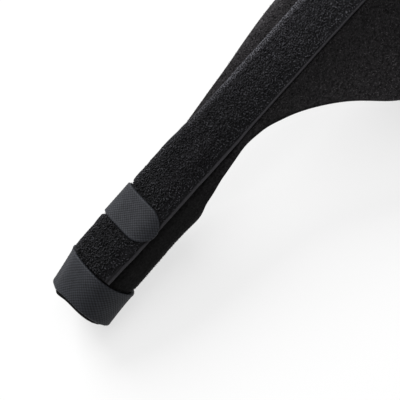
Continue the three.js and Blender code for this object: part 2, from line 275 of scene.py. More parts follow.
class SplintStage(bpy.types.PropertyGroup):
    """Camera and light of the stage."""

    elevation: bpy.props.FloatProperty(
        name="Elevation", description="Height angle of the camera",
        default=math.radians(60), subtype="ANGLE")
    roll: bpy.props.FloatProperty(
        name="Roll", description="Turn of the camera about its view",
        default=math.radians(43.5), subtype="ANGLE")
    distance: bpy.props.FloatProperty(
        name="Distance", description="Distance of the camera from its aim",
        default=5.0, unit="LENGTH")
    width: bpy.props.FloatProperty(
        name="Width", description="Width that the camera takes in at its aim",
        default=0.1365, unit="LENGTH")
    aim: bpy.props.FloatVectorProperty(
        name="Aim", description="Point in the middle of the view",
        default=tuple(float(v) for v in ORIGIN + np.array((91.84, 12.53, 25.1)) * MM),
        subtype="XYZ", unit="LENGTH")
    floor: bpy.props.FloatVectorProperty(
        name="Floor", description="Colour of the floor",
        default=(0.18, 0.18, 0.18), subtype="COLOR")
    floor_glow: bpy.props.FloatProperty(
        name="Floor glow", description="Light that the floor gives off, as a light table does",
        default=0.7)


# Shape of the limb and of what lies on it


def smooth_column(table, column):
    """A table's column as a smooth function of x that never overshoots its rows."""
    xs = np.array([row.x for row in table], float)
    ys = np.array([getattr(row, column) for row in table], float)
    steps = np.diff(xs)
    rates = np.diff(ys) / steps
    before, after = rates[:-1], rates[1:]
    same_way = before * after > 0
    inner = np.where(same_way, 2 * before * after / np.where(same_way, before + after, 1.0), 0.0)
    slopes = np.concatenate((rates[:1], inner, rates[-1:]))

    def value(x):
        x = np.clip(x, xs[0], xs[-1])
        i = np.clip(np.searchsorted(xs, x, side="right") - 1, 0, len(steps) - 1)
        t = (x - xs[i]) / steps[i]
        ahead = (1 + 2 * t) * (1 - t) ** 2 * ys[i] + t * (1 - t) ** 2 * slopes[i] * steps[i]
        behind = t * t * (3 - 2 * t) * ys[i + 1] + t * t * (t - 1) * slopes[i + 1] * steps[i]
        return ahead + behind

    return value


LIMB_AT = {column: smooth_column(LIMB, column) for column in Section._fields[1:]}
EDGE_AT = {side: smooth_column(OUTLINE, side) for side in Reach._fields[1:]}
PROFILE_AT = smooth_column(POCKET_PROFILE, "height")
HALF_WIDTH_AT = {side: smooth_column(POCKET_EDGES, side) for side in Reach._fields[1:]}


def limb_middle(x):
    """Height of the middle of the limb's section at x."""
    return LIMB_AT["top"](x) - LIMB_AT["depth"](x) / 2


def by_side(tables, x, side):
    """What a pair of tables gives at x: the radial one where side is below 0, and else the ulnar one."""
    return np.where(side < 0, tables["radial"](x), tables["ulnar"](x))


def eased(share):
    """A share from 0 to 1 that starts and ends gently."""
    return share * share * (3 - 2 * share)


def turned_in(bearing):
    """A bearing brought to within half a turn of the middle of the back."""
    return np.mod(bearing + math.pi, 2 * math.pi) - math.pi


def middle_and_half(strap):
    """The x of a strap's middle, and half its width."""
    return (strap.start + strap.end) / 2, (strap.end - strap.start) / 2


Ring = namedtuple("Ring", "reach y z face_y face_z length")


@lru_cache(maxsize=None)
def limb_ring(x):
    """The limb's outline at x, from the palm over the back to the palm, with its outward facing."""
    turn = np.linspace(-math.pi, math.pi, 241)
    over = np.abs(turn) < math.pi / 2
    power = 2 / np.where(over, LIMB_AT["crown"](x), LIMB_AT["sole"](x))
    half = by_side(LIMB_AT, x, turn)
    rise = LIMB_AT["depth"](x) / 2
    y = np.sign(turn) * half * np.abs(np.sin(turn)) ** power
    z = LIMB_AT["top"](x) - rise + rise * np.sign(np.cos(turn)) * np.abs(np.cos(turn)) ** power
    reach = np.concatenate(((0.0,), np.cumsum(np.hypot(np.diff(y), np.diff(z)))))
    reach_middle = reach[len(turn) // 2]
    rate_y, rate_z = np.gradient(y, reach), np.gradient(z, reach)
    size = np.hypot(rate_y, rate_z)
    return Ring(reach - reach_middle, y, z, -rate_z / size, rate_y / size, reach[-1])


def leaning(x, y, z):
    """Points of the section at x, set back by the section's lean."""
    back = LIMB_AT["lean"](x) * (z - LIMB_AT["top"](x))
    return np.stack(np.broadcast_arrays(x + back, y, z), axis=-1)


def over_limb(x, reach, lift):
    """The y and z of points at one x: reach is the way round from the back's middle, lift the height."""
    ring = limb_ring(float(x))
    y, z, face_y, face_z = (np.interp(reach, ring.reach, column, period=ring.length)
                            for column in (ring.y, ring.z, ring.face_y, ring.face_z))
    return y + lift * face_y, z + lift * face_z


def rim_share(distance, radius):
    """How much of a cloth's half thickness is there at a distance from its rim: a full, soft edge."""
    into = np.clip(distance / radius, 0.0, 1.0)
    fullness = 2.4
    return (1 - (1 - into) ** fullness) ** (1 / fullness)


def with_fine_ends(start, end, spacing, radius):
    """Stations from start to end, closer together within a radius of both ends."""
    turn = np.linspace(0, math.pi / 2, 6)[:-1]
    edge = radius * (1 - np.cos(turn))
    count = max(2, round((end - start - 2 * radius) / spacing))
    inner = np.linspace(start + radius, end - radius, count + 1)
    return np.concatenate((start + edge, inner, (end - edge)[::-1]))


def table_at(table, xs, ys, x, y):
    """What an evenly spaced table holds between its rows, at xs, and its columns, at ys."""
    down = np.clip((x - xs[0]) / (xs[-1] - xs[0]), 0, 1) * (len(xs) - 1)
    over = np.clip((y - ys[0]) / (ys[-1] - ys[0]), 0, 1) * (len(ys) - 1)
    row = np.minimum(down.astype(int), len(xs) - 2)
    column = np.minimum(over.astype(int), len(ys) - 2)
    down, over = down - row, over - column
    near = table[row, column] * (1 - over) + table[row, column + 1] * over
    far = table[row + 1, column] * (1 - over) + table[row + 1, column + 1] * over
    return near * (1 - down) + far * down


def framed(points):
    """Points in the pattern's millimetres as points of the frame, in metres."""
    return np.asarray(points) * MM + ORIGIN


def waviness(points, scale, seed=0.0):
    """Smooth noise from -1 to 1 at each point of an array, for slack and hand-sewn unevenness."""
    flat = np.asarray(points, float).reshape(-1, 3) / scale + seed
    return np.array([noise.noise(Vector(p)) for p in flat]).reshape(np.shape(points)[:-1])


def wrap_slack(x, reach):
    """How far the wings of the wrap stand off from where they would lie drawn tight, in millimetres."""
    reach = np.asarray(reach, float)
    begun = np.clip((np.abs(reach) - WING_FROM) / WING_RUN, 0, 1)
    wing = begun * np.clip((WING_END - np.abs(reach)) / WING_END_RUN, 0, 1)
    spots = np.stack(np.broadcast_arrays(x, reach, 0.0), axis=-1)
    return WING_SLACK * wing * waviness(spots, WING_WAVE) if wing.any() else wing


def hem_shift(x, across):
    """How far the hems of the pocket wander sideways, in millimetres: more on the radial side."""
    across = np.asarray(across, float)
    loose = np.clip((np.abs(across) - HEM_LOOSE_FROM) / (POCKET_HALF - HEM_LOOSE_FROM), 0, 1) ** 2
    spots = np.stack(np.broadcast_arrays(x, np.sign(across) * 40.0, 0.0), axis=-1)
    wander = waviness(spots, HEM_LONG_WAVE, seed=0.37)
    wander = wander + HEM_SHORT_SHARE * waviness(spots, HEM_SHORT_WAVE, seed=0.71)
    return np.where(across < 0, HEM_RADIAL_WANDER, HEM_ULNAR_WANDER) * loose * wander


# Meshes and objects


def lay_sheet(bm, points, chart, to_rim):
    """Adds a grid of faces through rows of points, with its rim and its chart on the flat cloth."""
    rows, columns = points.shape[0] - 1, points.shape[1] - 1
    rim = bm.verts.layers.float.get("rim") or bm.verts.layers.float.new("rim")
    layer = bm.loops.layers.uv.get("chart") or bm.loops.layers.uv.new("chart")
    made = bmesh.ops.create_grid(bm, x_segments=columns, y_segments=rows, size=1)["verts"]
    places = {}
    for vert in made:
        row = round((vert.co.y + 1) / 2 * rows)
        column = round((vert.co.x + 1) / 2 * columns)
        vert.co = points[row, column]
        vert[rim] = math.exp(-to_rim[row, column] / RIM_DEPTH)
        places[vert] = chart[row, column]
    for face in {face for vert in made for face in vert.link_faces}:
        for loop in face.loops:
            loop[layer].uv = places[loop.vert]


def cloth_solid(over, under, chart, to_rim):
    """A closed piece of cloth: one sheet over another, joined all round where their rims meet."""
    bm = bmesh.new()
    lay_sheet(bm, framed(over), chart, to_rim)
    lay_sheet(bm, framed(under), chart, to_rim)
    bmesh.ops.remove_doubles(bm, verts=bm.verts, dist=1e-6)
    bmesh.ops.dissolve_degenerate(bm, edges=bm.edges, dist=1e-7)
    bmesh.ops.recalc_face_normals(bm, faces=bm.faces)
    return bm


def link_object(name, data):
    """A new object in the scene."""
    made = bpy.data.objects.new(name, data)
    bpy.context.scene.collection.objects.link(made)
    return made


def add_piece(name, bm, materials, node=None):
    """Makes an object from a bmesh, rides it on the splint's one body and gives it its finish."""
    mesh = bpy.data.meshes.new(name)
    bm.to_mesh(mesh)
    bm.free()
    for material in materials:
        mesh.materials.append(material)
    mesh.shade_smooth()
    piece = link_object(name, mesh)
    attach(piece, "root")
    if node:
        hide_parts(node)
    return piece


def repeat_shape(name, shape, matrices, materials, tones, places):
    """One piece of copies of a small shape, each with a matrix, a tone and a place on the flat cloth."""
    piece = add_piece(name, shape, materials)
    local = np.array([vert.co for vert in piece.data.vertices])
    array = piece.modifiers.new("copies", "ARRAY")
    array.count = len(matrices)
    array.use_relative_offset = False
    graph = bpy.context.evaluated_depsgraph_get()
    copies = bpy.data.meshes.new_from_object(piece.evaluated_get(graph))
    piece.modifiers.clear()
    piece.data = copies
    copies.name = name
    spread = np.einsum("nij,vj->nvi", matrices[:, :, :3], local) + matrices[:, None, :, 3]
    copies.vertices.foreach_set("co", spread.astype(np.float32).ravel())
    tone = copies.attributes.new("tone", "FLOAT", "POINT")
    tone.data.foreach_set("value", np.repeat(tones, len(local)).astype(np.float32))
    corners = np.empty(len(copies.loops), np.int32)
    copies.loops.foreach_get("vertex_index", corners)
    chart = copies.uv_layers.new(name="chart")
    chart.data.foreach_set("uv", places[corners // len(local)].astype(np.float32).ravel())
    copies.update()
    return piece


def stub_shape(length, width, tip):
    """A blunt three-sided stub of fibre that starts in the cloth, its tip a share of its width."""
    bm = bmesh.new()
    raised = Matrix.Translation((0, 0, length * STUB_RAISED))
    bmesh.ops.create_cone(bm, cap_ends=True, segments=3, depth=length, matrix=raised,
                          radius1=width / 2, radius2=width * tip)
    return bm


def standing(points, facing, along, scale):
    """Matrices that stand a shape at each point: z along its facing, x near its along way, and a size."""
    up = facing / np.linalg.norm(facing, axis=1, keepdims=True)
    ahead = along - up * np.sum(along * up, axis=1, keepdims=True)
    ahead /= np.linalg.norm(ahead, axis=1, keepdims=True)
    aside = np.cross(up, ahead)
    axes = np.stack((ahead, aside, up), axis=2) * np.asarray(scale)[:, None, None]
    return np.concatenate((axes, points[:, :, None]), axis=2)


# Materials


def feed(tree, socket, value):
    """Links a node's input to a socket, or sets any other value on it."""
    if isinstance(value, bpy.types.NodeSocket):
        tree.links.new(value, socket)
    else:
        socket.default_value = value


def give(tree, node, **inputs):
    """Feeds a node's inputs by their names, with underscores for the spaces."""
    for name, value in inputs.items():
        feed(tree, node.inputs[name.replace("_", " ")], value)


def add_node(tree, kind, settings=None, **inputs):
    """Adds a node with its settings and its inputs."""
    node = tree.nodes.new(kind)
    for name, value in (settings or {}).items():
        setattr(node, name, value)
    give(tree, node, **inputs)
    return node


def add_math(tree, operation, first, second=0.0):
    """Adds a Math node on two sockets or numbers, and gives its result."""
    node = add_node(tree, "ShaderNodeMath", {"operation": operation})
    for socket, value in zip(node.inputs, (first, second)):
        feed(tree, socket, value)
    return node.outputs[0]


def new_group(name, inputs, outputs):
    """An empty shader node group with named float and vector sockets."""
    tree = bpy.data.node_groups.new(name, "ShaderNodeTree")
    for label, kind, default in inputs:
        socket = tree.interface.new_socket(label, in_out="INPUT", socket_type=kind)
        if default is not None:
            socket.default_value = default
    for label in outputs:
        tree.interface.new_socket(label, in_out="OUTPUT", socket_type="NodeSocketFloat")
    return tree, tree.nodes.new("NodeGroupInput").outputs, tree.nodes.new("NodeGroupOutput")


def fibre_group():
    """Fuzzy fibres: fine specks in soft clumps, as a shade from 0 to 1 and a height."""
    found = bpy.data.node_groups.get("cloth fibres")
    if found:
        return found
    tree, given, result = new_group(
        "cloth fibres",
        (("Vector", "NodeSocketVector", None), ("Fineness", "NodeSocketFloat", 1500.0),
         ("Clump share", "NodeSocketFloat", 0.3)),
        ("Shade", "Height"))
    speck = add_node(tree, "ShaderNodeTexNoise", Vector=given["Vector"], Scale=given["Fineness"],
                     Detail=2.0, Roughness=0.6)
    clump = add_node(tree, "ShaderNodeTexNoise", Vector=given["Vector"], Detail=3.0, Roughness=0.55,
                     Scale=add_math(tree, "MULTIPLY", given["Fineness"], 0.22))
    clump_part = add_math(tree, "MULTIPLY", clump.outputs["Fac"], given["Clump share"])
    speck_share = add_math(tree, "SUBTRACT", 1.0, given["Clump share"])
    speck_part = add_math(tree, "MULTIPLY", speck.outputs["Fac"], speck_share)
    mixed = add_math(tree, "ADD", speck_part, clump_part)
    shade = add_node(tree, "ShaderNodeMapRange", Value=mixed, From_Min=0.33, From_Max=0.67)
    give(tree, result, Shade=shade.outputs["Result"], Height=mixed)
    return tree


def weave_group():
    """A plain weave on the cloth's chart: threads that go over and under, as a height and a crown."""
    found = bpy.data.node_groups.get("plain weave")
    if found:
        return found
    tree, given, result = new_group(
        "plain weave",
        (("Chart", "NodeSocketVector", None), ("Pitch", "NodeSocketFloat", 0.56)),
        ("Height", "Crown"))
    parts = add_node(tree, "ShaderNodeSeparateXYZ", Vector=given["Chart"])
    turn = add_math(tree, "DIVIDE", math.pi, given["Pitch"])
    wave_along = add_math(tree, "SINE", add_math(tree, "MULTIPLY", parts.outputs["X"], turn))
    wave_across = add_math(tree, "SINE", add_math(tree, "MULTIPLY", parts.outputs["Y"], turn))
    crossing = add_math(tree, "MULTIPLY", wave_along, wave_across)
    crown = add_node(tree, "ShaderNodeMapRange", Value=crossing, From_Min=-0.6, From_Max=0.8)
    give(tree, result, Height=crossing, Crown=crown.outputs["Result"])
    return tree


def new_material(name):
    """A material with its Principled shader, ready to be given its nodes."""
    material = bpy.data.materials.new(name)
    material.use_nodes = True
    tree = material.node_tree
    return material, tree, tree.nodes["Principled BSDF"]


def shaded_colour(tree, factor, colour, dark, light):
    """A colour that goes from a darker to a lighter cast of itself with a factor."""
    ramp = add_node(tree, "ShaderNodeMix", {"data_type": "RGBA", "clamp_factor": False})
    tree.links.new(factor, ramp.inputs["Factor"])
    ramp.inputs["A"].default_value = tuple(part * dark for part in colour) + (1.0,)
    ramp.inputs["B"].default_value = tuple(part * light for part in colour) + (1.0,)
    return ramp.outputs["Result"]


def paint_light_by_place(material, brushing):
    """Paints light and shade into a cloth's colour over its chart, as rows of painted light say."""
    tree = material.node_tree
    shader = tree.nodes["Principled BSDF"]
    chart = add_node(tree, "ShaderNodeUVMap", {"uv_map": "chart"}).outputs["UV"]
    places = add_node(tree, "ShaderNodeSeparateXYZ", Vector=chart).outputs
    shade = None
    for row in brushing:
        part = add_node(tree, "ShaderNodeMapRange", {"interpolation_type": "SMOOTHSTEP"},
                        Value=places[row.axis], From_Min=row.start, From_Max=row.end,
                        To_Min=row.first, To_Max=row.second).outputs["Result"]
        shade = add_math(tree, "MULTIPLY", shade, part) if shade else part
    # The base colour scaled by the rows' painted light and shade
    brushed = add_node(tree, "ShaderNodeHueSaturation", Value=shade,
                       Color=shader.inputs["Base Color"].links[0].from_socket)
    give(tree, shader, Base_Color=brushed.outputs["Color"])


# Painted light and shade along X or Y of the chart: from a place with the first shade to one with the
# second
PaintedLight = namedtuple("PaintedLight", "axis start end first second")
WRAP_PAINTED_LIGHT = (
    # Painted shade: the cloth darker over the finger, from 72 mm towards the tip
    PaintedLight("X", 108.0, 72.0, 0.5, 1.7),
    # Slightly darker from 60 mm towards the wrist
    PaintedLight("X", 60.0, 20.0, 1.0, 0.92),
    # Painted light on the radial flank, which faces the key light
    PaintedLight("Y", -10.0, -17.0, 1.0, 2.4),
    # Painted light beside the pocket's ulnar hem, where the pocket's shadow falls
    PaintedLight("Y", 10.4, 13.5, 1.8, 1.0),
    # Painted light over the ulnar wing, lighter towards its edge, where it turns away from the key light
    PaintedLight("Y", 12.0, 48.0, 1.0, 4.4),
)
PILE_PAINTED_LIGHT = (
    # Lighter towards the pocket's wrist end
    PaintedLight("X", 75.0, 5.0, 1.08, 2.0),
    # Painted light on the ulnar shoulder, which faces away from the key light
    PaintedLight("Y", 6.5, 9.0, 1.0, 1.7),
)
HEM_PAINTED_LIGHT = (
    # Painted highlight along the hem's outer rim, darker just inside it
    PaintedLight("Y", 9.3, 9.75, 0.4, 1.0),
    # A second light line inside the hem near the tip, with a darker line between
    PaintedLight("Y", 8.8, 9.1, 1.9, 1.0),
    # Darker towards the tip
    PaintedLight("X", 78.0, 105.0, 1.0, 0.84),
)

# Finishes of fibre: a colour's setting, the fibres' fineness and clumps, the darkest and lightest cast of
# the colour, the relief, how much of the shade is each copy's own tone, and the rows of painted light and
# shade
Finish = namedtuple("Finish", "colour fineness clumps dark light relief own_tone brushing")
FINISHES = {
    "wrap cloth": Finish("wrap_cloth", 1300.0, 0.15, 0.15, 1.4, 0.7, 0.0, WRAP_PAINTED_LIGHT),
    "nap tufts": Finish("wrap_cloth", 1300.0, 0.15, 0.25, 3.6, 0.3, 0.85, WRAP_PAINTED_LIGHT),
    # The pile's ground is kept darker than its loops: painted shade in the gaps between the loops
    "pile ground": Finish("loop_pile", 1700.0, 0.3, 0.12, 0.8, 0.8, 0.0, PILE_PAINTED_LIGHT),
    "pile loops": Finish("loop_pile", 1100.0, 0.4, 0.0, 5.2, 0.4, 0.8, PILE_PAINTED_LIGHT),
    "hem binding": Finish("hem", 2400.0, 0.2, 0.8, 1.15, 0.3, 0.0, HEM_PAINTED_LIGHT),
    "tape bristles": Finish("hook_tape", 3000.0, 0.2, 0.5, 1.4, 0.2, 0.7, ()),
    "sewing thread": Finish("thread", 3000.0, 0.2, 0.5, 1.3, 0.3, 0.5, ()),
}
RELIEF_DEPTH = 0.2 * MM


def fibre_material(name):
    """A matt finish of brushed cloth, looped pile or thread: specks of fibre over soft clumps."""
    finish = FINISHES[name]
    material, tree, shader = new_material(name)
    place = add_node(tree, "ShaderNodeTexCoord").outputs["Object"]
    fibres = add_node(tree, "ShaderNodeGroup", {"node_tree": fibre_group()},
                      Vector=place, Fineness=finish.fineness, Clump_share=finish.clumps)
    factor = fibres.outputs["Shade"]
    if finish.own_tone:
        tone = add_node(tree, "ShaderNodeAttribute", {"attribute_name": "tone"}).outputs["Fac"]
        part = add_math(tree, "MULTIPLY", tone, finish.own_tone)
        factor = add_math(tree, "ADD", part, add_math(tree, "MULTIPLY", factor, 1.0 - finish.own_tone))
    colour = tuple(getattr(bpy.context.scene.splint_colours, finish.colour))
    shaded = shaded_colour(tree, factor, colour, finish.dark, finish.light)
    rough = add_node(tree, "ShaderNodeMapRange", Value=factor, To_Min=0.98, To_Max=0.82)
    bump = add_node(tree, "ShaderNodeBump", Strength=finish.relief, Distance=RELIEF_DEPTH,
                    Height=fibres.outputs["Height"])
    give(tree, shader, Base_Color=shaded, Roughness=rough.outputs["Result"],
         Normal=bump.outputs["Normal"], Specular_IOR_Level=0.12)
    # Painted light and shade over the chart, for the finishes that list rows of it
    if finish.brushing:
        paint_light_by_place(material, finish.brushing)
    return material


def hook_tape():
    """Woven hook tape: a fine plain weave of dull nylon threads with a soft gloss and painted highlight
    on the top of each thread, and painted highlight along the rims.
    """
    found = bpy.data.materials.get("hook tape")
    if found:
        return found
    crown_highlight_share, fuzz_share, rim_highlight_share = 0.7, 0.3, 0.3
    darkest, lightest = 0.22, 1.5
    scene = bpy.context.scene
    material, tree, shader = new_material("hook tape")
    chart = add_node(tree, "ShaderNodeUVMap", {"uv_map": "chart"}).outputs["UV"]
    weave = add_node(tree, "ShaderNodeGroup", {"node_tree": weave_group()},
                     Chart=chart, Pitch=scene.splint_sizes.thread_pitch / MM)
    place = add_node(tree, "ShaderNodeTexCoord").outputs["Object"]
    fibres = add_node(tree, "ShaderNodeGroup", {"node_tree": fibre_group()},
                      Vector=place, Fineness=900.0, Clump_share=0.5)
    # Painted highlights: the top of each thread and the tape's rims lighter, as where light catches the
    # weave and the edges
    crown_highlights = add_math(tree, "MULTIPLY", weave.outputs["Crown"], crown_highlight_share)
    fuzz = add_math(tree, "MULTIPLY", fibres.outputs["Shade"], fuzz_share)
    rim = add_node(tree, "ShaderNodeAttribute", {"attribute_name": "rim"}).outputs["Fac"]
    factor = add_math(tree, "ADD", add_math(tree, "ADD", crown_highlights, fuzz),
                      add_math(tree, "MULTIPLY", rim, rim_highlight_share))
    shaded = shaded_colour(tree, factor, tuple(scene.splint_colours.hook_tape), darkest, lightest)
    rough = add_node(tree, "ShaderNodeMapRange", Value=factor, To_Min=0.85, To_Max=0.62)
    bump = add_node(tree, "ShaderNodeBump", Strength=0.2, Distance=RELIEF_DEPTH,
                    Height=weave.outputs["Height"])
    give(tree, shader, Base_Color=shaded, Roughness=rough.outputs["Result"],
         Normal=bump.outputs["Normal"], Specular_IOR_Level=0.3)
    return material


# The wrap


def radial_share(bearing):
    """A smooth share that is 1 on the finger's radial shoulder and falls to 0 away from it."""
    return np.exp(-((turned_in(bearing) - RADIAL_BEARING) / RADIAL_SPREAD) ** 2)


def end_drawn(x, y, z):
    """How far the wrap's end goes back or out under the tilted strap at the tip, in millimetres."""
    share = np.clip((x - TIP_STRAP.start) / (TIP_STRAP.end - TIP_STRAP.start), 0, 1)
    bearing = np.arctan2(y, z - limb_middle(x))
    back = TIP_STRAP.tilt * (1 - np.sin(bearing)) / 2
    return share * share * (TIP_STRAP.drawn * radial_share(bearing) - back)


def wrap_points(stations, shares, wall, side):
    """Rows of points of the wrap's outer (side 1) or inner (side -1) sheet, and their chart."""
    rows, chart, rims = [], [], []
    last = OUTLINE[-1].x
    for x in stations:
        edge = by_side(EDGE_AT, x, shares)
        to_rim = np.minimum((1 - np.abs(shares)) * edge, min(x - WRAP_START, last - x))
        full = rim_share(to_rim, wall / 2)
        reach = shares * edge
        y, z = over_limb(x, reach, wall / 2 * (1 + side * full) + wrap_slack(x, reach))
        rows.append(leaning(x + end_drawn(x, y, z), y, z))
        chart.append(np.stack((np.full_like(reach, x), reach), axis=-1))
        rims.append(to_rim)
    return np.array(rows), np.array(chart), np.array(rims)


class SPLINT_OT_wrap(bpy.types.Operator):
    """Make the padded wrap that lies on the back of the finger and goes round the wrist"""

    bl_idname = "splint.wrap"
    bl_label = "Wrap"

    def execute(self, context):
        wall = context.scene.splint_sizes.wrap_wall / MM
        stations = with_fine_ends(WRAP_START, OUTLINE[-1].x, ROW_SPACING, wall / 2)
        shares = np.sin(np.linspace(-math.pi / 2, math.pi / 2, 97))
        over, chart, to_rim = wrap_points(stations, shares, wall, 1)
        under, _, _ = wrap_points(stations, shares, wall, -1)
        bm = cloth_solid(over, under, chart, to_rim)
        piece = add_piece("wrap_cloth", bm, [fibre_material("wrap cloth")], "wrap")
        self.raise_nap(context.scene.splint_sizes, wall)
        return {"FINISHED"}

    def raise_nap(self, sizes, wall):
        """Brushes up short tufts on the wrap's open outer face, clear of the pocket and the straps."""
        chance = np.random.default_rng(SEED + 1)
        spacing = sizes.nap_spacing / MM
        points, facing, places, sizes_here = [], [], [], []
        for x in np.arange(WRAP_START + 1, POCKET_END - 0.5 - spacing, spacing):
            first, last = NAP_RADIAL_CLEAR - EDGE_AT["radial"](x), EDGE_AT["ulnar"](x) - NAP_ULNAR_CLEAR
            reach = np.arange(first, last, spacing)
            reach = reach + chance.uniform(-0.5, 0.5, len(reach)) * spacing
            lift = wall + wrap_slack(x, reach)
            near_y, near_z = over_limb(x, reach, lift)
            far_y, far_z = over_limb(x + spacing, reach, lift)
            top_y, top_z = over_limb(x, reach, lift + 1)
            share = chance.uniform(0, 1, len(reach))
            at = x + share * spacing
            y, z = near_y + (far_y - near_y) * share, near_z + (far_z - near_z) * share
            covered = under_strap(MIDDLE_STRAP, at, np.arctan2(y, z - limb_middle(at)), wall)
            hem_edge = by_side(HALF_WIDTH_AT, at, y)
            covered |= (np.abs(y) < hem_edge + NAP_POCKET_CLEAR) & (z > z.max() - NAP_BACK_DEPTH)
            covered |= (np.abs(reach) > NAP_WRIST_REACH) & (at < WRIST_STRAP.end + NAP_STRAP_CLEAR)
            bare = ~covered
            points.append(leaning(at, y, z)[bare])
            outward = np.stack((np.full_like(y, NAP_LEAN), top_y - near_y, top_z - near_z), axis=1)
            facing.append(outward[bare])
            places.append(np.stack((at, reach), axis=1)[bare])
            to_edge = by_side(EDGE_AT, x, reach) - np.abs(reach)
            on_finger = np.clip((at - NAP_SHORTENS_FROM) / NAP_SHORTENS_RUN, 0, 1)
            size = np.clip(to_edge / NAP_EDGE_RUN, NAP_EDGE_LEAST, 1) * (1 - NAP_SHORTENS_BY * on_finger)
            sizes_here.append(size[bare])
        points, facing, places = (np.concatenate(rows) for rows in (points, facing, places))
        facing += chance.normal(0, NAP_UNRULY, facing.shape)
        scale = chance.uniform(*NAP_SIZES, len(points)) * np.concatenate(sizes_here)
        matrices = standing(framed(points), facing, chance.normal(0, 1, facing.shape), scale)
        tones = chance.uniform(0, 1, len(points)) + NAP_CLUMP * waviness(points, NAP_CLUMP_SIZE)
        tones = np.maximum(tones, 0.0)
        shape = stub_shape(TUFT_LENGTH * MM, TUFT_WIDTH * MM, TUFT_TIP)
        tufts = fibre_material("nap tufts")
        repeat_shape("wrap_nap", shape, matrices, [tufts], tones, places)


# The stay pocket


@lru_cache(maxsize=None)
def back_curve(x, wall):
    """The wrap's outer face over the back at x, as y against height."""
    reach = np.linspace(-BACK_REACH, BACK_REACH, 129)
    return over_limb(x, reach, wall + PIECE_GAP)


def hem_inner(x):
    """How far across the pocket its pile reaches and its hem begins, which is nearer in at the tip."""
    share = np.clip((x - HEM_WIDENS_FROM) / (HEM_WIDENS_TO - HEM_WIDENS_FROM), 0, 1)
    return HEM_INNER + (HEM_INNER_TIP - HEM_INNER) * eased(share)


def pressed(x):
    """How fully the middle strap presses the pocket at x, from 0 to 1."""
    inside = np.minimum(x - MIDDLE_STRAP.start, MIDDLE_STRAP.end - x)
    return eased(np.clip(1 + inside / PRESS_RUN, 0, 1))


def pocket_y(x, across):
    """The y of a place across the pocket, whose two sides aren't quite as wide as each other."""
    across = np.asarray(across, float)
    radial = HALF_WIDTH_AT["radial"](x) * (1 - PRESS_WIDTH * pressed(x))
    edge = np.where(across < 0, radial, HALF_WIDTH_AT["ulnar"](x))
    return across / POCKET_HALF * edge


def pocket_base(x, across, wall):
    """Height of the pocket's underside at x: flat, with its hems bent down towards the wrap."""
    back_y, back_z = back_curve(float(x), wall)
    bent = LIMB_AT["top"](x) + wall + PIECE_GAP - POCKET_DROOP * (across / POCKET_HALF) ** 4
    return np.maximum(bent, np.interp(pocket_y(x, across), back_y, back_z))


def pocket_height(x, across):
    """Thickness of the pocket at x, with its crown run down at both ends."""
    to_end = min(x - POCKET_START, POCKET_END - x)
    risen = math.sin(min(max(to_end / POCKET_TAPER, 0), 1) * math.pi / 2)
    share = POCKET_END_SHARE + (1 - POCKET_END_SHARE) * risen
    share *= 1 - PRESS_THICKNESS * pressed(x)
    return POCKET_HEM + (PROFILE_AT(np.abs(across)) - POCKET_HEM) * share


def pocket_points(stations, across, wall):
    """Rows of points of the pocket's top and underside, and their chart."""
    over, under, chart, rims = [], [], [], []
    for x in stations:
        base = pocket_base(x, across, wall)
        height = pocket_height(x, across)
        to_rim = np.minimum(POCKET_HALF - np.abs(across), min(x - POCKET_START, POCKET_END - x))
        full = rim_share(to_rim, POCKET_HEM / 2)
        middle = POCKET_HEM / 2
        y = pocket_y(x, across) + hem_shift(x, across)
        over.append(leaning(x, y, base + middle + (height - middle) * full))
        under.append(leaning(x, y, base + middle * (1 - full)))
        chart.append(np.stack((np.full_like(across, x), across), axis=-1))
        rims.append(to_rim)
    return np.array(over), np.array(under), np.array(chart), np.array(rims)


@lru_cache(maxsize=None)
def pocket_face(wall):
    """A table of the heights of the pocket's outer face, with its places along and across."""
    xs = np.linspace(POCKET_START, POCKET_END, 420)
    across = np.linspace(-POCKET_HALF, POCKET_HALF, 161)
    heights = np.array([pocket_base(x, across, wall) + pocket_height(x, across) for x in xs])
    return heights, xs, across


def on_pocket(xs, across, lift, wall):
    """Points over the pocket's outer face."""
    heights = table_at(*pocket_face(wall), xs, across)
    return leaning(xs, pocket_y(xs, across) + hem_shift(xs, across), heights + lift)


def loop_shape(height, thread):
    """One loop of the pile: a small arch of thread, closed at its two feet."""
    bm = bmesh.new()
    arch = height - thread
    foot = Matrix.Translation((arch, 0, 0))
    ring = bmesh.ops.create_circle(bm, segments=3, radius=thread, matrix=foot)
    edges = list({edge for vert in ring["verts"] for edge in vert.link_edges})
    bmesh.ops.spin(bm, geom=ring["verts"] + edges, cent=(0, 0, 0), axis=(0, 1, 0),
                   angle=-math.pi, steps=3)
    bmesh.ops.holes_fill(bm, edges=bm.edges, sides=0)
    bmesh.ops.recalc_face_normals(bm, faces=bm.faces)
    return bm


def under_strap(strap, x, bearing, wall):
    """Where a finger strap covers a place at x and a bearing, with a small margin."""
    end_margin, side_margin = 0.3, 0.45
    centre, half = middle_and_half(strap)
    radius = taut_radius(centre, math.radians(strap.bearing_to), wall)
    turn = math.copysign(1, strap.bearing_to - strap.bearing_from)
    length = abs(math.radians(strap.bearing_to - strap.bearing_from)) * radius
    way = np.mod(turn * (bearing - math.radians(strap.bearing_from)), 2 * math.pi) * radius
    narrowing = np.clip((way - (length - half)) / half, 0, 1)
    width = half * np.sqrt(1 - narrowing ** 2)
    return (way < length + end_margin) & (np.abs(x - centre) < width + side_margin)


def pocket_row():
    """Places across the pocket, closer together on its shoulders and round its two rims."""
    crown = np.linspace(0, CROWN_HALF, 9)
    shoulder = np.linspace(SHOULDER_FROM, SHOULDER_TO, 10)
    rim = POCKET_HALF - POCKET_HEM / 2 * (1 - np.sin(np.linspace(0.25, math.pi / 2, 5)))
    half_row = np.concatenate((crown, shoulder, (HEM_FLAT,), rim))
    return np.concatenate((-half_row[:0:-1], half_row))


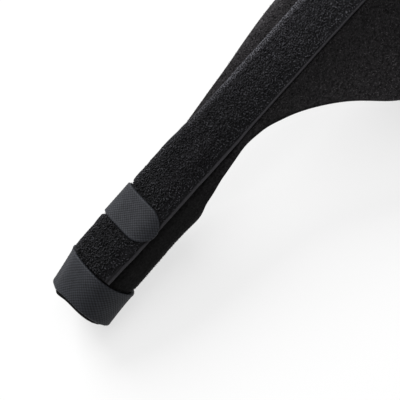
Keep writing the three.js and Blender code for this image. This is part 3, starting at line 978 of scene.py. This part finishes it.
class SPLINT_OT_stay_pocket(bpy.types.Operator):
    """Make the pocket for the stay, with its smooth hems and its loop pile"""

    bl_idname = "splint.stay_pocket"
    bl_label = "Stay pocket"

    def execute(self, context):
        sizes = context.scene.splint_sizes
        wall = sizes.wrap_wall / MM
        stations = with_fine_ends(POCKET_START, POCKET_END, ROW_SPACING, POCKET_HEM)
        bm = cloth_solid(*pocket_points(stations, pocket_row(), wall))
        layer = bm.loops.layers.uv["chart"]
        for face in bm.faces:
            places = [loop[layer].uv for loop in face.loops]
            inner = hem_inner(places[0].x) if places[0].y > 0 else HEM_INNER
            face.material_index = 1 if min(abs(place.y) for place in places) > inner else 0
        cloths = [fibre_material("pile ground"), fibre_material("hem binding")]
        piece = add_piece("stay_pocket_shell", bm, cloths, "stay_pocket")
        self.raise_pile(sizes, wall)
        return {"FINISHED"}

    def raise_pile(self, sizes, wall):
        """Stands the loops of the pile on the pocket's crown, except under the straps."""
        chance = np.random.default_rng(SEED)
        spacing = sizes.loop_spacing / MM
        xs, across = np.meshgrid(np.arange(POCKET_START + 0.5, POCKET_END - 0.4, spacing),
                                 np.arange(-PILE_RADIAL, HEM_INNER, spacing), indexing="ij")
        xs = (xs + chance.uniform(-0.4, 0.4, xs.shape) * spacing).ravel()
        across = (across + chance.uniform(-0.4, 0.4, across.shape) * spacing).ravel()
        heights = table_at(*pocket_face(wall), xs, across)
        bearing = np.arctan2(pocket_y(xs, across), heights - limb_middle(xs))
        bare = ~under_strap(MIDDLE_STRAP, xs, bearing, wall) & (across < hem_inner(xs))
        xs, across = xs[bare], across[bare]
        points = on_pocket(xs, across, 0.0, wall)
        aside, ahead = 0.2, 0.5
        beside = table_at(*pocket_face(wall), xs, across + aside)
        slope_y = (beside - heights[bare]) / aside
        slope_x = (LIMB_AT["top"](xs + ahead) - LIMB_AT["top"](xs - ahead)) / (2 * ahead)
        facing = np.stack((-slope_x, -slope_y, np.ones_like(xs)), axis=1)
        facing += chance.normal(0, PILE_UNRULY, facing.shape)
        along = chance.normal(0, 1, facing.shape)
        on_shoulder = np.clip((np.abs(across) - PILE_SHORTENS_FROM) / PILE_SHORTENS_RUN, 0, 1)
        scale = chance.uniform(*PILE_SIZES, len(xs)) * (1 - PILE_SHORTENS_BY * on_shoulder)
        shape = loop_shape(sizes.loop_height, LOOP_THREAD * MM)
        matrices = standing(framed(points), facing, along, scale)
        tones = self.loop_tones(xs, across, points, chance)
        places = np.stack((xs, across), axis=1)
        loops = fibre_material("pile loops")
        repeat_shape("pocket_pile", shape, matrices, [loops], tones, places)

    def loop_tones(self, xs, across, points, chance):
        """A tone for each loop: some chance, soft clumps, and lighter on the shoulders as painted
        highlight and painted light.
        """
        clump = FINE_CLUMP * waviness(points, FINE_CLUMP_SIZE)
        clump += BROAD_CLUMP * waviness(points, BROAD_CLUMP_SIZE)
        # Painted highlight on the radial shoulder, which faces the key light: lighter, more even tones,
        # patchy and fading towards the tip
        shoulder_light = np.clip((-across - HIGHLIGHT_FROM) / HIGHLIGHT_RUN, 0, 1)
        shoulder_light *= np.clip((HIGHLIGHT_TO_X - xs) / HIGHLIGHT_FADE, HIGHLIGHT_LEAST, 1)
        shoulder_light *= HIGHLIGHT_EVEN + HIGHLIGHT_PATCHY * waviness(points, HIGHLIGHT_PATCH_SIZE, seed=3.0)
        # Painted light on the ulnar shoulder, which faces away from the key light
        shoulder_light += ULNAR_PAINTED_LIGHT * np.clip((across - ULNAR_LIGHT_FROM) / ULNAR_LIGHT_RUN, 0, 1)
        plain_tone = TONE_BASE + TONE_CHANCE * chance.uniform(0, 1, len(xs)) + clump
        return np.maximum(plain_tone * (1 - HIGHLIGHT_EVENS * shoulder_light) + HIGHLIGHT_LIGHTENS * shoulder_light, 0.0)


# Straps


def convex_outline(points):
    """The convex outline of points in a plane, anticlockwise."""
    ordered = [tuple(p) for p in points[np.lexsort((points[:, 1], points[:, 0]))]]

    def chain(run):
        kept = []
        for p in run:
            while len(kept) > 1:
                (ox, oy), (ax, ay) = kept[-2], kept[-1]
                if (ax - ox) * (p[1] - oy) - (ay - oy) * (p[0] - ox) > 0:
                    break
                kept.pop()
            kept.append(p)
        return kept[:-1]

    return np.array(chain(ordered) + chain(ordered[::-1]))


BEARINGS = np.radians(np.arange(-180, 180))
SOFTENING = np.array((1, 4, 7, 8, 7, 4, 1), float)


@lru_cache(maxsize=None)
def taut_ring(x, wall):
    """How far a taut strap lies from the finger's middle at each bearing round it, at x."""
    ring = limb_ring(x)
    shares = np.linspace(-1, 1, 61)
    edge = by_side(EDGE_AT, x, shares)
    within = [np.stack((ring.y, ring.z), axis=1), np.stack(over_limb(x, shares * edge, wall), axis=1)]
    if x < POCKET_END:
        across = np.linspace(-POCKET_HALF, POCKET_HALF, 61)
        top = pocket_base(x, across, wall) + pocket_height(x, across)
        within.append(np.stack((pocket_y(x, across), top), axis=1))
    middle = np.array((0.0, limb_middle(x)))
    corners = convex_outline(np.concatenate(within)) - middle
    corner_bearing = np.arctan2(corners[:, 0], corners[:, 1])
    order = np.argsort(corner_bearing)
    corners, corner_bearing = corners[order], corner_bearing[order]
    ahead = np.searchsorted(corner_bearing, BEARINGS) % len(corners)
    a_y, a_z = corners[ahead - 1].T
    run_y, run_z = (corners[ahead] - corners[ahead - 1]).T
    way_y, way_z = np.sin(BEARINGS), np.cos(BEARINGS)
    radius = (a_y * run_z - a_z * run_y) / (way_y * run_z - way_z * run_y)
    soft = SOFTENING / SOFTENING.sum()
    return sum(weight * np.roll(radius, k - len(soft) // 2) for k, weight in enumerate(soft))


def taut_radius(x, bearing, wall):
    """The taut distance from the finger's middle at x and a bearing, both single numbers."""
    return float(np.interp(bearing, BEARINGS, taut_ring(float(x), wall), period=2 * math.pi))


class FingerLay:
    """How a finger strap lies: any place on its flat tape as a point round the finger."""

    def __init__(self, strap, wall, wrap_wall):
        self.stations = np.linspace(strap.start - strap.tilt, strap.end + strap.drawn, 25)
        self.bearings = np.append(BEARINGS, math.pi)
        taut = np.array([taut_ring(float(x), wrap_wall) for x in self.stations])
        self.table = np.concatenate((taut, taut[:, :1]), axis=1)
        self.start = math.radians(strap.bearing_from)
        sweep = math.radians(strap.bearing_to) - self.start
        self.turn = math.copysign(1, sweep)
        self.centre, self.half = middle_and_half(strap)
        self.radius = taut_radius(self.centre, math.radians(strap.bearing_to), wrap_wall)
        self.length = abs(sweep) * self.radius
        self.wall = wall
        self.gap, self.flare, self.tilt, self.drawn = strap.gap, strap.flare, strap.tilt, strap.drawn

    def round_finger(self, x, bearing):
        """The y and z of the taut surface at x and a bearing."""
        radius = table_at(self.table, self.stations, self.bearings, x, turned_in(bearing))
        return np.stack((radius * np.sin(bearing), limb_middle(x) + radius * np.cos(bearing)), axis=-1)

    def __call__(self, ways, across, lift):
        """Points over places along and across the tape, by a lift."""
        step = 0.06
        swept = ways / self.radius
        bearing = self.start + self.turn * swept
        side, share = radial_share(bearing), across / (2 * self.half)
        x = self.centre + across - self.tilt * (1 - np.sin(bearing)) / 2
        x = x + self.drawn * side * np.clip(0.5 + share, 0, 1) ** 2
        lap = np.clip((swept - 2 * math.pi + LAP_RISE) / LAP_RISE, 0, 1)
        lift = lift + self.gap + eased(lap) * (self.wall + PIECE_GAP)
        lift = lift + self.flare * side * np.clip(0.5 - share, 0, 1) ** 2
        here = self.round_finger(x, bearing)
        run = self.round_finger(x, bearing + step) - self.round_finger(x, bearing - step)
        run /= np.linalg.norm(run, axis=-1, keepdims=True)
        points = leaning(x, here[..., 0] - run[..., 1] * lift, here[..., 1] + run[..., 0] * lift)
        points[..., 2] = np.maximum(points[..., 2], 0.0)
        return points


class WristLay:
    """How the wrist strap lies: any place on its flat tape as a point round the wrist."""

    def __init__(self, strap, wrap_wall):
        self.reach, self.length = strap.reach, strap.length
        self.centre, self.half = middle_and_half(strap)
        self.lift = wrap_wall + STRAP_GAP

    def __call__(self, ways, across, lift):
        """Points over places along and across the tape, by a lift."""
        ways, across, lift = np.broadcast_arrays(ways, across, lift)
        pairs = [over_limb(self.centre + a, self.reach + w, self.lift + height)
                 for w, a, height in zip(ways.ravel(), across.ravel(), lift.ravel())]
        y, z = np.array(pairs).T.reshape(2, *ways.shape)
        return leaning(self.centre + across, y, np.maximum(z, 0.0))


def strap_rows(length, half, spacing):
    """Stops along a strap with a round free end: how far along each is, and its share of the width."""
    straight = np.linspace(0, length - half, round((length - half) / spacing) + 1)
    turn = np.linspace(0, math.pi / 2, round(half * 1.6 / spacing) + 1)[1:]
    along = np.concatenate((straight, length - half + half * np.sin(turn)))
    width = np.concatenate((np.ones_like(straight), np.cos(turn)))
    return along, np.maximum(width, 0.0)


def strap_chart(along, width, half, spacing):
    """Grids of a strap's way along, its way across and its distance from the rim."""
    shares = np.linspace(-1, 1, 2 * round(half / spacing) + 1)
    across = half * width[:, None] * shares[None, :]
    ways = np.repeat(along[:, None], len(shares), axis=1)
    to_side = half * width[:, None] - np.abs(across)
    to_rim = np.minimum(np.minimum(to_side, ways), along[-1] - ways)
    return ways, across, np.maximum(to_rim, 0.0)


def tape_relief(ways, across, to_rim, pitch):
    """Height of the tape's weave: threads over and under, and a firmer selvedge."""
    inside = np.clip((to_rim - WEAVE_FROM) / WEAVE_RUN, 0, 1)
    crossing = np.sin(math.pi * ways / pitch) * np.sin(math.pi * across / pitch)
    selvedge = np.exp(-((to_rim - SELVEDGE_AT) / SELVEDGE_SPREAD) ** 2)
    return WEAVE_HEIGHT * crossing * inside + SELVEDGE_HEIGHT * selvedge


def strap_solid(lay, wall, pitch, spacing):
    """A closed strap of woven tape from the way it lies."""
    along, width = strap_rows(lay.length, lay.half, spacing)
    ways, across, to_rim = strap_chart(along, width, lay.half, spacing)
    full = rim_share(to_rim, wall / 2)
    over = lay(ways, across, wall / 2 * (1 + full) + tape_relief(ways, across, to_rim, pitch) * full)
    under = lay(ways, across, wall / 2 * (1 - full))
    return cloth_solid(over, under, np.stack((ways, across), axis=-1), to_rim)


class SPLINT_OT_finger_straps(bpy.types.Operator):
    """Make the two hook straps that hold the finger"""

    bl_idname = "splint.finger_straps"
    bl_label = "Finger straps"

    def execute(self, context):
        sizes = context.scene.splint_sizes
        wall, pitch = sizes.strap_wall / MM, sizes.thread_pitch / MM
        for strap in (MIDDLE_STRAP, TIP_STRAP):
            lay = FingerLay(strap, wall, sizes.wrap_wall / MM)
            bm = strap_solid(lay, wall, pitch, pitch / 2)
            add_piece(strap.node + "_tape", bm, [hook_tape()], strap.node)
        return {"FINISHED"}


class SPLINT_OT_wrist_strap(bpy.types.Operator):
    """Make the strap that closes the two wings under the wrist"""

    bl_idname = "splint.wrist_strap"
    bl_label = "Wrist strap"

    def execute(self, context):
        sizes = context.scene.splint_sizes
        wall, pitch = sizes.strap_wall / MM, sizes.thread_pitch / MM
        bm = strap_solid(WristLay(WRIST_STRAP, sizes.wrap_wall / MM), wall, pitch, pitch * 0.8)
        add_piece("wrist_strap_tape", bm, [hook_tape()], WRIST_STRAP.node)
        return {"FINISHED"}


# Sewing and stray fibres


def stitch_shape(length, thickness):
    """One stitch: a short plump run of thread that dips into the cloth at both ends."""
    bm = bmesh.new()
    bmesh.ops.create_uvsphere(bm, u_segments=6, v_segments=5, radius=1.0,
                              matrix=Matrix.Rotation(math.pi / 2, 4, "Y"))
    bmesh.ops.scale(bm, vec=(length / 2, thickness / 2, thickness / 2), verts=bm.verts)
    return bm


def sewn_line(lay, start, end, pitch, lift):
    """Stitches from a start to an end on flat cloth: their points, and their ways along and off it."""
    start, end = np.array(start, float), np.array(end, float)
    length = np.linalg.norm(end - start)
    ahead = (end - start) / length
    count = max(1, round(length / pitch))
    u, v = (start[:, None] + ahead[:, None] * length * (np.arange(count) + 0.5) / count)
    points = lay(u, v, lift)
    step_u, step_v = ahead * STITCH_STEP
    along = lay(u + step_u, v + step_v, lift) - lay(u - step_u, v - step_v, lift)
    return points, along, lay(u, v, lift + STITCH_OFF) - points


class SPLINT_OT_stitching(bpy.types.Operator):
    """Sew the pocket's hems and the sewn ends of the middle and wrist straps"""

    bl_idname = "splint.stitching"
    bl_label = "Stitching"

    def execute(self, context):
        sizes = context.scene.splint_sizes
        wall, tape, pitch = sizes.wrap_wall / MM, sizes.strap_wall / MM, sizes.stitch_pitch / MM
        lines = list(self.hem_lines(wall, pitch))
        lines += self.box(FingerLay(MIDDLE_STRAP, tape, wall), FINGER_BOX, tape, pitch)
        lines += self.box(WristLay(WRIST_STRAP, wall), WRIST_BOX, tape, pitch)
        points, along, facing = (np.concatenate(rows) for rows in zip(*lines))
        chance = np.random.default_rng(SEED + 2)
        along += chance.normal(0, STITCH_UNRULY, along.shape)
        matrices = standing(framed(points), facing, along, chance.uniform(*STITCH_SIZES, len(points)))
        shape = stitch_shape(STITCH_SHARE * sizes.stitch_pitch, STITCH_WIDTH * MM)
        tones = chance.uniform(0, 1, len(points))
        thread = fibre_material("sewing thread")
        repeat_shape("stitching", shape, matrices, [thread], tones, points[:, :2])
        return {"FINISHED"}

    def hem_lines(self, wall, pitch):
        """The running stitches on both hems and across the pocket's wrist end, clear of the straps."""
        inset, lift = POCKET_HALF - 0.5, 0.03
        first, last = POCKET_START + 0.8, POCKET_END - 1
        before, after = MIDDLE_STRAP.start - 1, MIDDLE_STRAP.end + 1

        def lay(x, across, off):
            return on_pocket(x, across, off, wall)

        for side in (-inset, inset):
            yield sewn_line(lay, (first, side), (before, side), pitch, lift)
            yield sewn_line(lay, (after, side), (last, side), pitch, lift)
        yield sewn_line(lay, (first, -inset), (first, inset), pitch, lift)

    def box(self, lay, sewn, tape, pitch):
        """A box of stitches with a cross in it at a strap's sewn end."""
        near, far, half = sewn
        corners = ((near, -half), (near, half), (far, half), (far, -half))
        runs = list(zip(corners, corners[1:] + corners[:1]))
        runs += [(corners[0], corners[2]), (corners[1], corners[3])]
        return [sewn_line(lay, start, end, pitch, tape + 0.02) for start, end in runs]


class SPLINT_OT_bristles(bpy.types.Operator):
    """Fray the edges of the finger straps with the short bristles of cut hook tape"""

    bl_idname = "splint.bristles"
    bl_label = "Bristles"

    def execute(self, context):
        sizes = context.scene.splint_sizes
        tape, spacing = sizes.strap_wall / MM, sizes.bristle_spacing / MM
        chance = np.random.default_rng(SEED + 3)
        points, facing = [], []
        for strap in (MIDDLE_STRAP, TIP_STRAP):
            lay = FingerLay(strap, tape, sizes.wrap_wall / MM)
            rim, outward = self.rim_bristles(lay, tape, spacing, chance)
            points.append(rim)
            facing.append(outward)
        points, facing = np.concatenate(points), np.concatenate(facing)
        facing /= np.linalg.norm(facing, axis=1, keepdims=True)
        facing += chance.normal(0, BRISTLE_UNRULY, facing.shape)
        clear = points[:, 2] > BRISTLE_LEAST_Z
        points, facing = points[clear], facing[clear]
        along = chance.normal(0, 1, facing.shape)
        matrices = standing(framed(points), facing, along, chance.uniform(*BRISTLE_SIZES, len(points)))
        tones = chance.uniform(0, 1, len(points))
        shape = stub_shape(BRISTLE_LENGTH * MM, BRISTLE_WIDTH * MM, BRISTLE_TIP)
        nylon = fibre_material("tape bristles")
        repeat_shape("strap_bristles", shape, matrices, [nylon], tones, points[:, :2])
        return {"FINISHED"}

    def rim_bristles(self, lay, tape, spacing, chance):
        """Places of bristles along a strap's two edges and round its free end, and their ways out."""
        straight = np.arange(1.0, lay.length - lay.half, spacing)
        turn = np.arange(0, math.pi, spacing / lay.half)
        ways = np.concatenate((straight, straight, lay.length - lay.half + lay.half * np.sin(turn)))
        across = np.concatenate((np.full_like(straight, lay.half), np.full_like(straight, -lay.half),
                                 lay.half * np.cos(turn)))
        root_ways = np.minimum(ways, lay.length - lay.half)
        ways = root_ways + (ways - root_ways) * BRISTLE_OUT
        lift = tape * chance.uniform(*BRISTLE_LIFTS, len(ways))
        rim = lay(ways, across * BRISTLE_OUT, lift)
        inner = lay(root_ways + (ways - root_ways) * BRISTLE_IN, across * BRISTLE_IN, lift)
        return rim, rim - inner


# The stage


def look_along(right, up, back, location):
    """The matrix of an object whose own axes are right, up and back."""
    turn = Matrix((right, up, back)).transposed().to_4x4()
    return Matrix.Translation(location) @ turn


# Square area lights: where each is from the camera's aim, in metres, its side and its power
AreaLight = namedtuple("AreaLight", "name offset size energy")
LIGHTS = (
    AreaLight("key light", (-0.5, -1.85, 1.4), 1.2, 78.0),
    AreaLight("top light", (-0.2, -0.2, 2.4), 2.2, 48.0),
)
WHITE = (1.0, 1.0, 1.0, 1.0)
WORLD_STRENGTH = 0.17
SENSOR_WIDTH, VIEW_END = 36.0, 20.0
FLOOR_HALF, FLOOR_DROP = 3.0, 0.0002


def add_light(row, aim):
    """A square area light that faces an aim."""
    data = bpy.data.lights.new(row.name, "AREA")
    data.size = row.size
    data.energy = row.energy
    light = link_object(row.name, data)
    light.location = aim + Vector(row.offset)
    light.rotation_euler = (aim - light.location).to_track_quat("-Z", "Y").to_euler()


class SPLINT_OT_stage(bpy.types.Operator):
    """Set up the floor, the light and the camera"""

    bl_idname = "splint.stage"
    bl_label = "Stage"

    def execute(self, context):
        stage = context.scene.splint_stage
        aim = Vector(stage.aim)
        self.add_camera(context.scene, stage, aim)
        self.add_floor(stage)
        for row in LIGHTS:
            add_light(row, aim)
        world = context.scene.world or bpy.data.worlds.new("studio")
        context.scene.world = world
        world.use_nodes = True
        tree = world.node_tree
        give(tree, tree.nodes["Background"], Color=WHITE, Strength=WORLD_STRENGTH)
        context.scene.view_settings.view_transform = "Standard"
        return {"FINISHED"}

    def add_camera(self, scene, stage, aim):
        """A long lens at the photograph's angle, rolled so that the finger runs down to the left."""
        back = Vector((0, math.cos(stage.elevation), math.sin(stage.elevation)))
        level = Vector((-1, 0, 0))
        rise = back.cross(level)
        right = level * math.cos(stage.roll) - rise * math.sin(stage.roll)
        up = level * math.sin(stage.roll) + rise * math.cos(stage.roll)
        data = bpy.data.cameras.new("camera")
        data.sensor_width = SENSOR_WIDTH
        data.lens = data.sensor_width * stage.distance / stage.width
        data.clip_end = VIEW_END
        camera = link_object("camera", data)
        camera.matrix_world = look_along(right, up, back, aim + back * stage.distance)
        scene.camera = camera

    def add_floor(self, stage):
        """A wide pale floor under the splint."""
        bm = bmesh.new()
        bmesh.ops.create_grid(bm, x_segments=1, y_segments=1, size=FLOOR_HALF,
                              matrix=Matrix.Translation((0, 0, -FLOOR_DROP)))
        mesh = bpy.data.meshes.new("floor")
        bm.to_mesh(mesh)
        bm.free()
        material, tree, shader = new_material("floor paper")
        place = add_node(tree, "ShaderNodeTexCoord").outputs["Object"]
        mottle = add_node(tree, "ShaderNodeTexNoise", Vector=place, Scale=6.0, Detail=2.0)
        colour = shaded_colour(tree, mottle.outputs["Fac"], tuple(stage.floor), 0.99, 1.01)
        give(tree, shader, Base_Color=colour, Roughness=0.9,
             Emission_Color=WHITE, Emission_Strength=stage.floor_glow)
        mesh.materials.append(material)
        floor = link_object("floor", mesh)


class SPLINT_PT_pieces(bpy.types.Panel):
    """Sizes and colours of the splint, and its pieces in the order they are made."""

    bl_idname = "SPLINT_PT_pieces"
    bl_label = "Finger splint"
    bl_space_type = "VIEW_3D"
    bl_region_type = "UI"
    bl_category = "Splint"

    def draw(self, context):
        layout = self.layout
        for group, _ in SETTINGS:
            settings = getattr(context.scene, group)
            for name in settings.__annotations__:
                layout.prop(settings, name)
        for piece in PIECE_OPERATORS:
            layout.operator(piece.bl_idname)


SETTINGS = (
    ("splint_sizes", SplintSizes),
    ("splint_colours", SplintColours),
    ("splint_stage", SplintStage),
)
PIECE_OPERATORS = (
    SPLINT_OT_stage,
    SPLINT_OT_wrap,
    SPLINT_OT_stay_pocket,
    SPLINT_OT_finger_straps,
    SPLINT_OT_wrist_strap,
    SPLINT_OT_stitching,
    SPLINT_OT_bristles,
)


def register():
    """Register the settings, the operators and the panel."""
    for name, group in SETTINGS:
        bpy.utils.register_class(group)
        setattr(bpy.types.Scene, name, bpy.props.PointerProperty(type=group))
    for operator in PIECE_OPERATORS:
        bpy.utils.register_class(operator)
    bpy.utils.register_class(SPLINT_PT_pieces)


def unregister():
    """Take the panel, the operators and the settings away again."""
    bpy.utils.unregister_class(SPLINT_PT_pieces)
    for operator in reversed(PIECE_OPERATORS):
        bpy.utils.unregister_class(operator)
    for name, group in reversed(SETTINGS):
        delattr(bpy.types.Scene, name)
        bpy.utils.unregister_class(group)


def main():
    """Make the stage and every piece in order."""
    register()
    bpy.ops.splint.stage()
    bpy.ops.splint.wrap()
    bpy.ops.splint.stay_pocket()
    bpy.ops.splint.finger_straps()
    bpy.ops.splint.wrist_strap()
    bpy.ops.splint.stitching()
    bpy.ops.splint.bristles()


if __name__ == "__main__":
    main()
